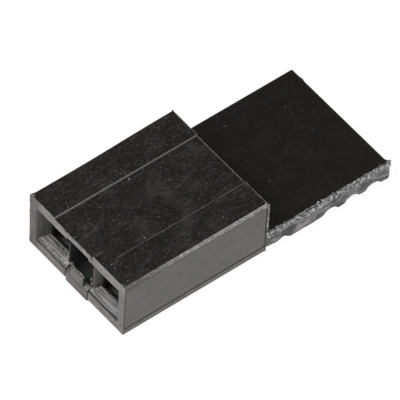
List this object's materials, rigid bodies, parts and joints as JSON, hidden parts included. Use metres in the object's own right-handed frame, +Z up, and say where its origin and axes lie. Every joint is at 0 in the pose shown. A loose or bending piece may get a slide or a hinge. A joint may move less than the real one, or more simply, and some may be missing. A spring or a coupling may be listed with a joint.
{
  "type": "jumper shunt",
  "caption": "Low-profile jumper shunt in black moulded plastic with a flat, ribbed pull handle, which joins neighbouring square header posts.",
  "frame": {"origin": "centre of the footprint, at the level the shunt rests on, which is the underside of its tongue tip", "axes": "+X across the shunt, +Y from the open mouth towards the end of the handle, +Z up through its thickness"},
  "size_m": [0.005, 0.0112, 0.0026],
  "materials": {
    "housing_plastic": "moulded black glass-filled polyester, glossy on top, duller at the mouth and torn edge",
    "contact_bronze": "dull tin-plated phosphor bronze strip"
  },
  "bodies": {
    "root": {"housing": "housing_plastic", "contact": "contact_bronze"}
  },
  "joints": []
}
